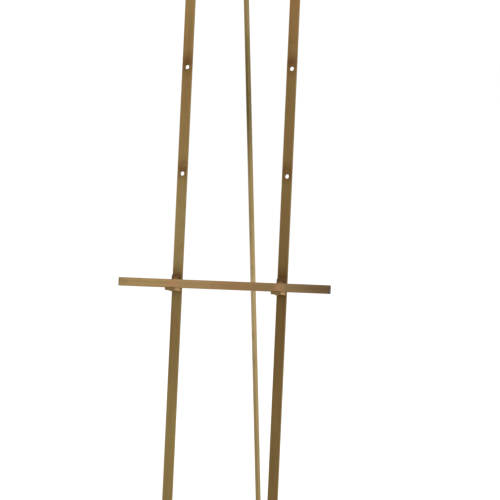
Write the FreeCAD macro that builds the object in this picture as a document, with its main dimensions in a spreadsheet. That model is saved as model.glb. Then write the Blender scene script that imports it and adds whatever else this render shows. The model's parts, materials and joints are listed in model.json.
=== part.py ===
"""Display easel: two flat-bar uprights, a hinged rear leg and a ledge that pegs on.

The easel stands on the XY plane, +Z up, with its front facing -Y. The origin is
on the floor under the middle of its bounding box. The pieces of the front frame
and of the ledge are drawn square, along the upright, and placed by the lean of
the frame. The pieces of the rear leg are drawn about its pivot.
"""
import FreeCAD, Part
import math
import os
import re
import Sketcher

doc = FreeCAD.newDocument("DisplayEasel")

# ---------------------------------------------------------------- sizes, in mm
DRIVING = [
    # flat bar that the frame and the leg are cut from
    ("bar_width", 19), ("bar_thickness", 6), ("edge_radius", 0.6),
    # front frame
    ("upright_spacing", 204), ("upright_length", 1270), ("lean_angle", 10),
    ("peg_hole_play", 0.2), ("peg_hole_pitch", 203.2), ("top_peg_hole_setback", 151.6),
    ("crossbar_thickness", 5), ("top_bar_height", 32), ("top_bar_setback", 102),
    ("lower_bar_height", 19), ("lower_bar_level", 100),
    # screws, washers and cap nuts of the two crossbars
    ("screw_diameter", 5), ("screw_head_diameter", 9.6), ("screw_head_height", 2.8),
    ("screw_pitch", 16), ("socket_across_corners", 3.4), ("socket_depth", 1.6),
    ("hole_play", 0.2), ("washer_diameter", 10), ("washer_thickness", 1),
    ("nut_across_corners", 9.2), ("nut_height", 4), ("thread_engagement", 3.6),
    # shares that shape every head and dome: the flat top's radius and the straight rim's
    # height by the head's own diameter and height, the dome's radius by its hexagon
    ("head_flat_share", 0.3), ("head_rim_share", 0.333), ("dome_share", 0.4),
    # hinge between the top crossbar and the rear leg
    ("bracket_width", 44), ("bracket_height", 26), ("bracket_thickness", 3),
    ("heel_length", 14), ("ear_margin", 10), ("ear_corner_radius", 9),
    ("pin_diameter", 6), ("pin_head_diameter", 11), ("pin_head_height", 3),
    ("pin_nut_across_corners", 11.4), ("pin_nut_height", 5),
    ("bush_wall", 2), ("running_play", 0.1), ("side_play", 0.1), ("spacer_thickness", 0.8),
    ("rivet_diameter", 4), ("rivet_head_diameter", 7.5), ("rivet_head_height", 1.8),
    ("rivet_spacing", 30), ("rivet_pitch", 14),
    # rear leg
    ("leg_angle", 6.3), ("stop_gap", 0.05),
    # feet
    ("boot_wall", 2), ("boot_height", 22), ("boot_sole", 3), ("boot_radius", 1.2),
    # ledge
    ("ledge_length", 406.4), ("tube_size", 16), ("tube_wall", 1.5), ("tube_radius", 1.5),
    ("plug_flange", 1.6), ("plug_depth", 12),
    ("ledge_reach", 43.6), ("ledge_drop", 7), ("strap_thickness", 5), ("strap_bend_radius", 1.5),
    ("strap_top", 12), ("strap_corner_radius", 4), ("seat_gap", 0.1),
    ("ledge_screw_diameter", 4), ("ledge_screw_head_diameter", 7), ("ledge_screw_head_height", 1.8),
    ("ledge_screw_length", 10),
    # pegs and thumb nuts
    ("peg_diameter", 8), ("peg_head_diameter", 12), ("peg_head_height", 2.2), ("peg_tail", 3),
    ("peg_washer_diameter", 14), ("peg_washer_thickness", 1.5),
    ("thumb_nut_diameter", 16), ("thumb_nut_height", 8), ("thumb_nut_collar_diameter", 12),
    ("thumb_nut_collar_height", 2), ("knurl_radius", 0.8), ("knurl_inset", 0.27),
]
KNURL_COUNT = 24
PEG_HOLE_COUNT = 3
LEAST_CUT = 0.01  # cubic mm: a pocket that takes less than this has missed
NEAR = 0.01  # mm: an edge this close to a place is the edge at that place
PARALLEL = 0.999  # share of an edge's length that lies along an axis it follows

# Values worked out from the driving sizes. "back" is measured square to the frame
# from the middle of the uprights' thickness, and "up" along the uprights.
DERIVED = [
    ("frame_back", "bar_thickness / 2"),
    ("crossbar_back", "bar_thickness / 2 + crossbar_thickness"),
    ("top_bar_level", "upright_length - top_bar_setback"),
    ("lowest_peg_hole",
     "w.top_bar_level - top_peg_hole_setback - peg_hole_pitch * %d" % (PEG_HOLE_COUNT - 1)),
    ("peg_hole_diameter", "peg_diameter + peg_hole_play"),
    ("bush_diameter", "pin_diameter + 2 * bush_wall"),
    ("fold_angle", "lean_angle + leg_angle"),
    ("pivot_reach", "stop_gap + bar_width / 2 * cos(w.fold_angle) + heel_length * sin(w.fold_angle)"),
    ("pivot_back", "w.crossbar_back + bracket_thickness + w.pivot_reach"),
    ("ear_gap", "bar_thickness + 2 * spacer_thickness + 2 * side_play"),
    ("ear_outside", "w.ear_gap / 2 + bracket_thickness"),
    ("frame_height", "boot_sole + bar_thickness / 2 * sin(lean_angle)"),
    ("pivot_from_frame", "w.pivot_back * cos(lean_angle) + w.top_bar_level * sin(lean_angle)"),
    ("pivot_height",
     "w.frame_height + w.top_bar_level * cos(lean_angle) - w.pivot_back * sin(lean_angle)"),
    ("leg_below_pivot", "(w.pivot_height - boot_sole - bar_width / 2 * sin(leg_angle)) / cos(leg_angle)"),
    ("front_boot_half", "bar_thickness / 2 + boot_wall"),
    ("rear_boot_half", "bar_width / 2 + boot_wall"),
    ("front_boot_toe", "-(w.frame_height + w.front_boot_half * sin(lean_angle)) / cos(lean_angle)"),
    ("front_boot_heel", "(w.front_boot_half * sin(lean_angle) - w.frame_height) / cos(lean_angle)"),
    ("rear_boot_toe", "(w.rear_boot_half * sin(leg_angle) - w.pivot_height) / cos(leg_angle)"),
    ("rear_boot_heel", "-(w.rear_boot_half * sin(leg_angle) + w.pivot_height) / cos(leg_angle)"),
    ("front_extent", "w.front_boot_toe * sin(lean_angle) - w.front_boot_half * cos(lean_angle)"),
    ("rear_extent",
     "w.pivot_from_frame + w.rear_boot_half * cos(leg_angle) - w.rear_boot_heel * sin(leg_angle)"),
    ("frame_place", "-(w.front_extent + w.rear_extent) / 2"),
    ("strap_back", "-bar_thickness / 2 - seat_gap"),
    ("strap_face", "w.strap_back - strap_thickness"),
    ("arm_top", "-ledge_drop - tube_size / 2"),
    ("arm_bottom", "w.arm_top - strap_thickness"),
    ("arm_front", "-ledge_reach - tube_size / 2"),
    ("thumb_nut_back", "bar_thickness / 2 + peg_washer_thickness + seat_gap"),
    ("peg_end", "w.thumb_nut_back + thumb_nut_height + peg_tail"),
]


def sized(text):
    """An expression on the two sheets, from one that names only their aliases."""
    aliases = {name for name, _ in DRIVING}

    def full_name(match):
        worked_out, word = match.groups()
        if worked_out:
            return "Worked." + worked_out
        return "Sizes." + word if word in aliases else word

    return re.sub(r"\bw\.(\w+)|\b([a-z_]+)\b", full_name, text)


sizes = doc.addObject("Spreadsheet::Sheet", "Sizes")
for row, (alias, number) in enumerate(DRIVING, start=1):
    sizes.set("A%d" % row, alias)
    sizes.set("B%d" % row, str(number))
    sizes.setAlias("B%d" % row, alias)
doc.recompute()

worked = doc.addObject("Spreadsheet::Sheet", "Worked")
for row, (alias, formula) in enumerate(DERIVED, start=1):
    worked.set("A%d" % row, alias)
    worked.set("B%d" % row, "=" + sized(formula).replace("Worked.", ""))
    worked.setAlias("B%d" % row, alias)
doc.recompute()


def size_of(text):
    """The present number of an expression."""
    return float(sizes.evalExpression(sized(text)))


# ------------------------------------------------------------- drawing helpers
subparts = []


def new_body(label):
    """A sub-part that is modelled feature by feature."""
    body = doc.addObject("PartDesign::Body", label)
    body.Label = label
    body.AllowCompound = True
    subparts.append(body)
    return body


def origin_feature(body, role):
    """A plane or an axis of the body's own origin."""
    return [feature for feature in body.Origin.OriginFeatures if feature.Role == role][0]


def new_sketch(body, plane, offset=None):
    """An empty sketch on an origin plane, moved along the plane's normal by offset."""
    sketch = body.newObject("Sketcher::SketchObject", "Sketch")
    sketch.AttachmentSupport = [(origin_feature(body, plane), "")]
    sketch.MapMode = "FlatFace"
    if offset:
        sketch.setExpression("AttachmentOffset.Base.z", sized(offset))
    return sketch


def pin_point(sketch, geometry, end, point):
    """Tie one point of the sketch to its two expressions."""
    for kind, text in zip(("DistanceX", "DistanceY"), point):
        index = sketch.addConstraint(Sketcher.Constraint(kind, -1, 1, geometry, end, size_of(text)))
        sketch.setExpression("Constraints[%d]" % index, sized(text))


def add_polygon(sketch, points):
    """A closed outline of straight lines through points, each a pair of expressions."""
    corners = [FreeCAD.Vector(*[size_of(text) for text in point]) for point in points]
    first = sketch.GeometryCount
    for start, end in zip(corners, corners[1:] + corners[:1]):
        sketch.addGeometry(Part.LineSegment(start, end), False)
    for index, point in enumerate(points):
        following = first + (index + 1) % len(points)
        sketch.addConstraint(Sketcher.Constraint("Coincident", first + index, 2, following, 1))
        pin_point(sketch, first + index, 1, point)


def add_rectangle(sketch, width, height, middle=("0", "0")):
    """A rectangle about a middle point."""
    across, along = middle
    add_polygon(sketch, [(across + " - " + width + " / 2", along + " - " + height + " / 2"),
                         (across + " + " + width + " / 2", along + " - " + height + " / 2"),
                         (across + " + " + width + " / 2", along + " + " + height + " / 2"),
                         (across + " - " + width + " / 2", along + " + " + height + " / 2")])


def add_hexagon(sketch, across_corners):
    """A regular hexagon about the sketch's origin."""
    add_polygon(sketch, [(across_corners + " / 2 * cos( %d )" % angle,
                          across_corners + " / 2 * sin( %d )" % angle)
                         for angle in range(0, 360, 60)])


def add_circle(sketch, diameter, middle=("0", "0")):
    """A circle whose diameter and middle are expressions."""
    radius = size_of(diameter) / 2
    centre = FreeCAD.Vector(*[size_of(text) for text in middle])
    index = sketch.addGeometry(Part.Circle(centre, FreeCAD.Vector(0, 0, 1), radius), False)
    size = sketch.addConstraint(Sketcher.Constraint("Diameter", index, 2 * radius))
    sketch.setExpression("Constraints[%d]" % size, sized(diameter))
    pin_point(sketch, index, 3, middle)


def add_dome_section(sketch, radius, seat, axis):
    """A quarter disc whose centre is on an axis of the sketch, for turning into a dome."""
    upright = axis == "V_Axis"
    reach, base = size_of(radius), size_of(seat)
    corners = [FreeCAD.Vector(reach, base), FreeCAD.Vector(0, base + reach), FreeCAD.Vector(0, base)]
    if not upright:
        corners = [FreeCAD.Vector(corner.y, corner.x) for corner in corners]
    rim, top, centre = corners
    circle = Part.Circle(centre, FreeCAD.Vector(0, 0, 1), reach)
    sketch.addGeometry(Part.ArcOfCircle(circle, 0, math.pi / 2), False)
    first, last = (rim, top) if upright else (top, rim)
    sketch.addGeometry(Part.LineSegment(last, centre), False)
    sketch.addGeometry(Part.LineSegment(centre, first), False)
    for one, end, other, start in ((0, 2, 1, 1), (1, 2, 2, 1), (2, 2, 0, 1), (0, 3, 2, 1)):
        sketch.addConstraint(Sketcher.Constraint("Coincident", one, end, other, start))
    sketch.addConstraint(Sketcher.Constraint("Vertical", 1))
    sketch.addConstraint(Sketcher.Constraint("Horizontal", 2))
    index = sketch.addConstraint(Sketcher.Constraint("Radius", 0, reach))
    sketch.setExpression("Constraints[%d]" % index, sized(radius))
    pin_point(sketch, 1, 2, ("0", seat) if upright else (seat, "0"))


def pad(body, sketch, length, side="One side", other_length=None, flip=False):
    """Add material along the sketch's normal."""
    feature = body.newObject("PartDesign::Pad", "Pad")
    feature.Profile = sketch
    feature.SideType = side
    feature.Reversed = flip
    feature.setExpression("Length", sized(length))
    if other_length:
        feature.setExpression("Length2", sized(other_length))
    doc.recompute()
    return feature


def cut(body, sketch, side="Symmetric", depth=None, flip=False):
    """Remove material along the sketch's normal: right through, or to a depth."""
    before = body.Shape.Volume
    feature = body.newObject("PartDesign::Pocket", "Pocket")
    feature.Profile = sketch
    feature.SideType = side
    feature.Reversed = flip
    if depth:
        feature.setExpression("Length", sized(depth))
    else:
        feature.Type = "ThroughAll"
    doc.recompute()
    if body.Shape.Volume > before - LEAST_CUT:
        raise RuntimeError("a pocket of %s cuts nothing" % body.Label)
    return feature


def revolve(body, sketch, axis):
    """Turn the sketch once about one of its own axes."""
    feature = body.newObject("PartDesign::Revolution", "Revolution")
    feature.Profile = sketch
    feature.ReferenceAxis = (sketch, [axis])
    feature.Angle = 360
    doc.recompute()
    return feature


def repeat_along(body, features, axis, spacing, count=2, second_axis=None, second_spacing=None):
    """Repeat features in a row, or in a rectangle of two rows."""
    pattern = body.newObject("PartDesign::LinearPattern", "LinearPattern")
    pattern.Originals = features
    pattern.Direction = (origin_feature(body, axis), [""])
    pattern.setExpression("Length", sized("(" + spacing + ") * %d" % (count - 1)))
    pattern.Occurrences = count
    if second_axis:
        pattern.Direction2 = (origin_feature(body, second_axis), [""])
        pattern.setExpression("Length2", sized(second_spacing))
        pattern.Occurrences2 = 2
    body.Tip = pattern
    doc.recompute()
    return pattern


def edges_along(shape, axis, keep=lambda middle: True):
    """Names of the straight edges that run along an axis and whose middle is kept."""
    names = []
    for index, edge in enumerate(shape.Edges, start=1):
        if edge.Curve.TypeId != "Part::GeomLine":
            continue
        ends = edge.Vertexes[-1].Point - edge.Vertexes[0].Point
        if abs(ends.dot(axis)) > PARALLEL * edge.Length and keep(edge.CenterOfMass):
            names.append("Edge%d" % index)
    return names


def round_edges(body, radius, axis, keep=lambda middle: True):
    """Fillet the edges of the body's last feature that run along an axis."""
    base = body.Tip
    feature = body.newObject("PartDesign::Fillet", "Fillet")
    feature.Base = (base, edges_along(base.Shape, axis, keep))
    feature.setExpression("Radius", sized(radius))
    doc.recompute()
    return feature


X_AXIS = FreeCAD.Vector(1, 0, 0)
Y_AXIS = FreeCAD.Vector(0, 1, 0)
Z_AXIS = FreeCAD.Vector(0, 0, 1)


def place_on_frame(body, across="0", back="0", up="0"):
    """Put a sub-part on the leaning frame, from the middle of the uprights' lower ends."""
    body.setExpression("Placement", sized(
        "create(<<placement>>; create(<<vector>>; {x} ; w.frame_place + ( {b} ) * cos(lean_angle)"
        " + ( {u} ) * sin(lean_angle) ; w.frame_height - ( {b} ) * sin(lean_angle)"
        " + ( {u} ) * cos(lean_angle) ); create(<<rotation>>; create(<<vector>>;1;0;0);"
        " -lean_angle ))".format(x=across, b=back, u=up)))


def place_on_leg(body):
    """Put a sub-part that is drawn about the pivot on the rear leg."""
    body.setExpression("Placement", sized(
        "create(<<placement>>; create(<<vector>>; 0; w.frame_place + w.pivot_from_frame ;"
        " w.pivot_height ); create(<<rotation>>; create(<<vector>>;1;0;0); leg_angle ))"))


# ------------------------------------------------------------------ front frame
def make_upright(label, side):
    """Flat bar with a row of peg holes and the holes for the crossbar screws."""
    body = new_body(label)
    outline = new_sketch(body, "XY_Plane")
    add_rectangle(outline, "bar_width", "bar_thickness")
    pad(body, outline, "upright_length")
    round_edges(body, "edge_radius", Z_AXIS)

    lowest = new_sketch(body, "XZ_Plane")
    add_circle(lowest, "w.peg_hole_diameter", ("0", "w.lowest_peg_hole"))
    peg_hole = cut(body, lowest)
    repeat_along(body, [peg_hole], "Z_Axis", "peg_hole_pitch", PEG_HOLE_COUNT)

    screw_holes = new_sketch(body, "XZ_Plane")
    upper_row, lower_row = "w.top_bar_level + screw_pitch / 2", "w.top_bar_level - screw_pitch / 2"
    for level in (upper_row, lower_row, "lower_bar_level"):
        add_circle(screw_holes, "screw_diameter + hole_play", ("0", level))
    cut(body, screw_holes)
    place_on_frame(body, "%d * upright_spacing / 2" % side)


def make_crossbar(label, height, level, hole_levels):
    """Flat bar across the backs of the uprights, as wide as both of them."""
    body = new_body(label)
    section = new_sketch(body, "YZ_Plane")
    add_rectangle(section, "crossbar_thickness", height, ("crossbar_thickness / 2", "0"))
    pad(body, section, "upright_spacing + bar_width", side="Symmetric")
    round_edges(body, "edge_radius", X_AXIS)

    holes = new_sketch(body, "XZ_Plane")
    for side in (-1, 1):
        for hole_level in hole_levels:
            add_circle(holes, "screw_diameter + hole_play", ("%d * upright_spacing / 2" % side, hole_level))
    cut(body, holes)
    place_on_frame(body, back="w.frame_back", up=level)
    return body


def make_rivet_holes(body):
    """The four rivet holes that the top crossbar and the hinge bracket share."""
    holes = new_sketch(body, "XZ_Plane")
    for side in (-1, 1):
        for row in (-1, 1):
            add_circle(holes, "rivet_diameter",
                       ("%d * rivet_spacing / 2" % side, "%d * rivet_pitch / 2" % row))
    cut(body, holes)


def make_headed_profile(body, head, head_height, shank, length):
    """Half section of a headed pin about the Y axis, with the head's seat at the origin."""
    profile = new_sketch(body, "XY_Plane")
    add_polygon(profile, [("0", "-%s" % head_height), (head + " * head_flat_share", "-%s" % head_height),
                          (head + " / 2", "-%s * head_rim_share" % head_height), (head + " / 2", "0"),
                          (shank + " / 2", "0"), (shank + " / 2", length), ("0", length)])
    return revolve(body, profile, "V_Axis")


def make_crossbar_screws(label, level, rows):
    """Round-head screws from the front, with a hexagon socket."""
    body = new_body(label)
    length = ("bar_thickness + crossbar_thickness + washer_thickness + thread_engagement")
    screw = make_headed_profile(body, "screw_head_diameter", "screw_head_height", "screw_diameter", length)
    socket = new_sketch(body, "XZ_Plane", "screw_head_height")
    add_hexagon(socket, "socket_across_corners")
    recess = cut(body, socket, side="One side", depth="socket_depth")
    repeat_fasteners(body, [screw, recess], rows)
    place_fasteners(body, "-w.frame_back", level, rows)


def repeat_fasteners(body, features, rows):
    """One fastener becomes a row across the two uprights, or two rows."""
    if rows == 2:
        repeat_along(body, features, "X_Axis", "upright_spacing", 2, "Z_Axis", "screw_pitch")
    else:
        repeat_along(body, features, "X_Axis", "upright_spacing", 2)


def place_fasteners(body, back, level, rows):
    """Fasteners start at the left upright, in the lower of their rows."""
    lowest = level + " - screw_pitch / 2" if rows == 2 else level
    place_on_frame(body, "-upright_spacing / 2", back, lowest)


def make_crossbar_washers(label, level, rows):
    """Plain washers behind a crossbar."""
    body = new_body(label)
    ring = new_sketch(body, "XZ_Plane")
    add_circle(ring, "washer_diameter")
    add_circle(ring, "screw_diameter + hole_play")
    washer = pad(body, ring, "washer_thickness", flip=True)
    repeat_fasteners(body, [washer], rows)
    place_fasteners(body, "w.crossbar_back", level, rows)


def make_cap_nut(body, plane, axis, across_corners, height, bore):
    """A hexagon with a domed cap, from its seat at the origin along an axis of the body."""
    inwards = plane == "XZ_Plane"
    hexagon = new_sketch(body, plane)
    add_hexagon(hexagon, across_corners)
    block = pad(body, hexagon, height, flip=inwards)
    section = new_sketch(body, "XY_Plane")
    add_dome_section(section, across_corners + " * dome_share", height, axis)
    dome = revolve(body, section, axis)
    hole = new_sketch(body, plane)
    add_circle(hole, bore)
    return [block, dome, cut(body, hole, side="One side", depth="thread_engagement", flip=not inwards)]


def make_crossbar_nuts(label, level, rows):
    """Domed cap nuts on the ends of the crossbar screws."""
    body = new_body(label)
    features = make_cap_nut(body, "XZ_Plane", "V_Axis", "nut_across_corners", "nut_height", "screw_diameter")
    repeat_fasteners(body, features, rows)
    place_fasteners(body, "w.crossbar_back + washer_thickness", level, rows)


def make_front_boot(label, side):
    """Rubber boot on the lower end of an upright, with its sole level on the floor."""
    body = new_body(label)
    profile = new_sketch(body, "YZ_Plane")
    add_polygon(profile, [("-w.front_boot_half", "w.front_boot_toe"),
                          ("w.front_boot_half", "w.front_boot_heel"),
                          ("w.front_boot_half", "boot_height"),
                          ("-w.front_boot_half", "boot_height")])
    pad(body, profile, "bar_width + 2 * boot_wall", side="Symmetric")
    round_edges(body, "boot_radius", Z_AXIS)
    socket = new_sketch(body, "XY_Plane")
    add_rectangle(socket, "bar_width", "bar_thickness")
    cut(body, socket, side="One side", flip=True)
    place_on_frame(body, "%d * upright_spacing / 2" % side)


# ------------------------------------------------------------------------ hinge
def make_hinge_bracket():
    """U-shaped bracket on the back of the top crossbar, with two ears for the pin."""
    body = new_body("hinge_bracket")
    plan = new_sketch(body, "XY_Plane")
    ear_end = "bracket_thickness + w.pivot_reach + ear_margin"
    right = [("bracket_width / 2", "0"), ("bracket_width / 2", "bracket_thickness"),
             ("w.ear_outside", "bracket_thickness"), ("w.ear_outside", ear_end),
             ("w.ear_gap / 2", ear_end), ("w.ear_gap / 2", "bracket_thickness")]
    left = [("-" + across, back) for across, back in reversed(right)]
    add_polygon(plan, right + left)
    pad(body, plan, "bracket_height", side="Symmetric")
    far_end = size_of(ear_end)
    round_edges(body, "ear_corner_radius", X_AXIS, lambda middle: middle.y > far_end - NEAR)

    pivot = new_sketch(body, "YZ_Plane")
    add_circle(pivot, "pin_diameter", ("bracket_thickness + w.pivot_reach", "0"))
    cut(body, pivot)
    make_rivet_holes(body)
    place_on_frame(body, back="w.crossbar_back", up="w.top_bar_level")


def make_bracket_rivets():
    """Four solid rivets through the top crossbar and the bracket, with two heads each."""
    body = new_body("bracket_rivets")
    grip = "crossbar_thickness + bracket_thickness"
    profile = new_sketch(body, "XY_Plane")
    flat = "rivet_head_diameter * head_flat_share"
    add_polygon(profile, [("0", "-rivet_head_height"), (flat, "-rivet_head_height"),
                          ("rivet_head_diameter / 2", "0"), ("rivet_diameter / 2", "0"),
                          ("rivet_diameter / 2", grip), ("rivet_head_diameter / 2", grip),
                          (flat, grip + " + rivet_head_height"), ("0", grip + " + rivet_head_height")])
    rivet = revolve(body, profile, "V_Axis")
    repeat_along(body, [rivet], "X_Axis", "rivet_spacing", 2, "Z_Axis", "rivet_pitch")
    place_on_frame(body, "-rivet_spacing / 2", "w.frame_back", "w.top_bar_level - rivet_pitch / 2")


def make_hinge_pin():
    """Headed pin through both ears and the leg."""
    body = new_body("hinge_pin")
    profile = new_sketch(body, "XY_Plane")
    seat = "-w.ear_outside"
    tip = "w.ear_outside + thread_engagement"
    add_polygon(profile, [(seat + " - pin_head_height", "0"),
                          (seat + " - pin_head_height", "pin_head_diameter * head_flat_share"),
                          (seat + " - pin_head_height * head_rim_share", "pin_head_diameter / 2"),
                          (seat, "pin_head_diameter / 2"), (seat, "pin_diameter / 2"),
                          (tip, "pin_diameter / 2"), (tip, "0")])
    revolve(body, profile, "H_Axis")
    place_on_frame(body, back="w.pivot_back", up="w.top_bar_level")


def make_hinge_pin_nut():
    """Domed cap nut that closes the pin against the right ear."""
    body = new_body("hinge_pin_nut")
    make_cap_nut(body, "YZ_Plane", "H_Axis", "pin_nut_across_corners", "pin_nut_height", "pin_diameter")
    place_on_frame(body, "w.ear_outside", "w.pivot_back", "w.top_bar_level")


def make_hinge_spacers():
    """Two thin washers that keep the leg in the middle of the ears."""
    body = new_body("hinge_spacers")
    ring = new_sketch(body, "YZ_Plane")
    add_circle(ring, "pin_head_diameter")
    add_circle(ring, "pin_diameter")
    spacer = pad(body, ring, "spacer_thickness")
    repeat_along(body, [spacer], "X_Axis", "w.ear_gap - spacer_thickness")
    place_on_frame(body, "-w.ear_gap / 2", "w.pivot_back", "w.top_bar_level")


# --------------------------------------------------------------------- rear leg
def make_rear_leg():
    """Flat bar on edge, hung on the pin; its square upper end is the hinge's stop."""
    body = new_body("rear_leg")
    outline = new_sketch(body, "XY_Plane")
    add_rectangle(outline, "bar_thickness", "bar_width")
    pad(body, outline, "heel_length", side="Two sides", other_length="w.leg_below_pivot")
    round_edges(body, "edge_radius", Z_AXIS)
    eye = new_sketch(body, "YZ_Plane")
    add_circle(eye, "w.bush_diameter")
    cut(body, eye)
    place_on_leg(body)


def make_hinge_bush():
    """Plain bush pressed in the leg's eye, running on the pin."""
    body = new_body("hinge_bush")
    ring = new_sketch(body, "YZ_Plane")
    add_circle(ring, "w.bush_diameter")
    add_circle(ring, "pin_diameter + running_play")
    pad(body, ring, "bar_thickness", side="Symmetric")
    place_on_leg(body)


def make_rear_boot():
    """Rubber boot on the lower end of the rear leg, with its sole level on the floor."""
    body = new_body("rear_boot")
    profile = new_sketch(body, "YZ_Plane")
    rim = "boot_height - w.leg_below_pivot"
    add_polygon(profile, [("-w.rear_boot_half", "w.rear_boot_toe"), ("w.rear_boot_half", "w.rear_boot_heel"),
                          ("w.rear_boot_half", rim), ("-w.rear_boot_half", rim)])
    pad(body, profile, "bar_thickness + 2 * boot_wall", side="Symmetric")
    round_edges(body, "boot_radius", Z_AXIS)
    socket = new_sketch(body, "XY_Plane", "-w.leg_below_pivot")
    add_rectangle(socket, "bar_thickness", "bar_width")
    cut(body, socket, side="One side", flip=True)
    place_on_leg(body)


# ------------------------------------------------------------------------ ledge
def place_on_ledge(body, across="0", back="0"):
    """Ledge pieces are drawn level with the lowest peg holes."""
    place_on_frame(body, across, back, "w.lowest_peg_hole")


def make_ledge_tube():
    """Square tube in front of the uprights that keeps the work from sliding off."""
    body = new_body("ledge_tube")
    middle = ("-ledge_reach", "-ledge_drop")
    section = new_sketch(body, "YZ_Plane")
    add_rectangle(section, "tube_size", "tube_size", middle)
    pad(body, section, "ledge_length - 2 * plug_flange", side="Symmetric")
    round_edges(body, "tube_radius", X_AXIS)
    hollow = new_sketch(body, "YZ_Plane")
    add_rectangle(hollow, "(tube_size - 2 * tube_wall)", "(tube_size - 2 * tube_wall)", middle)
    cut(body, hollow)
    screw_holes = new_sketch(body, "XY_Plane", "-ledge_drop")
    for side in (-1, 1):
        add_circle(screw_holes, "ledge_screw_diameter", ("%d * upright_spacing / 2" % side, "-ledge_reach"))
    cut(body, screw_holes, side="One side")
    place_on_ledge(body)


def make_ledge_plug(label, side):
    """Plastic plug that closes one end of the tube."""
    body = new_body(label)
    middle = ("-ledge_reach", "-ledge_drop")
    flange = new_sketch(body, "YZ_Plane")
    add_rectangle(flange, "tube_size", "tube_size", middle)
    pad(body, flange, "plug_flange", flip=side < 0)
    round_edges(body, "tube_radius", X_AXIS)
    spigot = new_sketch(body, "YZ_Plane")
    add_rectangle(spigot, "(tube_size - 2 * tube_wall)", "(tube_size - 2 * tube_wall)", middle)
    pad(body, spigot, "plug_depth", flip=side > 0)
    place_on_ledge(body, "%d * ( ledge_length / 2 - plug_flange )" % side)


def make_ledge_bracket(label, side):
    """Strap bent square: its plate lies on the upright and its arm carries the tube."""
    body = new_body(label)
    profile = new_sketch(body, "YZ_Plane")
    add_polygon(profile, [("w.strap_back", "strap_top"), ("w.strap_back", "w.arm_bottom"),
                          ("w.arm_front", "w.arm_bottom"), ("w.arm_front", "w.arm_top"),
                          ("w.strap_face", "w.arm_top"), ("w.strap_face", "strap_top")])
    pad(body, profile, "bar_width", side="Symmetric")
    back, face = size_of("w.strap_back"), size_of("w.strap_face")
    top, bottom, plate_top = size_of("w.arm_top"), size_of("w.arm_bottom"), size_of("strap_top")
    round_edges(body, "strap_bend_radius + strap_thickness", X_AXIS,
                lambda middle: abs(middle.y - back) < NEAR and abs(middle.z - bottom) < NEAR)
    round_edges(body, "strap_bend_radius", X_AXIS,
                lambda middle: abs(middle.y - face) < NEAR and abs(middle.z - top) < NEAR)
    round_edges(body, "strap_corner_radius", Y_AXIS, lambda middle: middle.z > plate_top - NEAR)

    peg_hole = new_sketch(body, "XZ_Plane")
    add_circle(peg_hole, "peg_diameter")
    cut(body, peg_hole)
    screw_hole = new_sketch(body, "XY_Plane")
    add_circle(screw_hole, "ledge_screw_diameter", ("0", "-ledge_reach"))
    cut(body, screw_hole)
    place_on_ledge(body, "%d * upright_spacing / 2" % side)


def make_peg(label, side):
    """Headed stud fixed in the strap; it passes through the upright to its nut."""
    body = new_body(label)
    make_headed_profile(body, "peg_head_diameter", "peg_head_height", "peg_diameter",
                        "w.peg_end - w.strap_face")
    place_on_ledge(body, "%d * upright_spacing / 2" % side, "w.strap_face")


def make_ledge_screws():
    """Two screws from under the arms into the tube."""
    body = new_body("ledge_screws")
    profile = new_sketch(body, "XZ_Plane")
    seat = "w.arm_bottom"
    tip = "w.arm_bottom + ledge_screw_length"
    under_head = seat + " - ledge_screw_head_height"
    add_polygon(profile, [("0", under_head), ("ledge_screw_head_diameter * head_flat_share", under_head),
                          ("ledge_screw_head_diameter / 2", seat), ("ledge_screw_diameter / 2", seat),
                          ("ledge_screw_diameter / 2", tip), ("0", tip)])
    screw = revolve(body, profile, "V_Axis")
    repeat_along(body, [screw], "X_Axis", "upright_spacing")
    place_on_ledge(body, "-upright_spacing / 2", "-ledge_reach")


def make_peg_washers():
    """Plain washers between the uprights and the thumb nuts."""
    body = new_body("peg_washers")
    ring = new_sketch(body, "XZ_Plane")
    add_circle(ring, "peg_washer_diameter")
    add_circle(ring, "w.peg_hole_diameter")
    washer = pad(body, ring, "peg_washer_thickness", flip=True)
    repeat_along(body, [washer], "X_Axis", "upright_spacing")
    place_on_ledge(body, "-upright_spacing / 2", "w.frame_back")


def make_thumb_nut(label, side):
    """Round nut with a narrow collar and a grooved rim, turned by hand."""
    body = new_body(label)
    profile = new_sketch(body, "XY_Plane")
    bore = "(peg_diameter + 2 * running_play) / 2"
    rim = "thumb_nut_diameter / 2"
    add_polygon(profile, [(bore, "0"), ("thumb_nut_collar_diameter / 2", "0"),
                          ("thumb_nut_collar_diameter / 2", "thumb_nut_collar_height"),
                          (rim + " - knurl_radius", "thumb_nut_collar_height"),
                          (rim, "thumb_nut_collar_height + knurl_radius"),
                          (rim, "thumb_nut_height - knurl_radius"),
                          (rim + " - knurl_radius", "thumb_nut_height"), (bore, "thumb_nut_height")])
    revolve(body, profile, "V_Axis")
    groove = new_sketch(body, "XZ_Plane")
    add_circle(groove, "2 * knurl_radius", (rim + " + knurl_inset", "0"))
    first = cut(body, groove, side="Symmetric")
    knurl = body.newObject("PartDesign::PolarPattern", "PolarPattern")
    knurl.Originals = [first]
    knurl.Axis = (origin_feature(body, "Y_Axis"), [""])
    knurl.Angle = 360
    knurl.Occurrences = KNURL_COUNT
    body.Tip = knurl
    doc.recompute()
    place_on_ledge(body, "%d * upright_spacing / 2" % side, "w.thumb_nut_back")


# -------------------------------------------------------------------- assembly
for name, side in (("left", -1), ("right", 1)):
    make_upright(name + "_upright", side)
    make_front_boot(name + "_front_boot", side)
    make_ledge_bracket(name + "_ledge_bracket", side)
    make_ledge_plug(name + "_ledge_plug", side)
    make_peg(name + "_peg", side)
    make_thumb_nut(name + "_thumb_nut", side)

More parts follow.
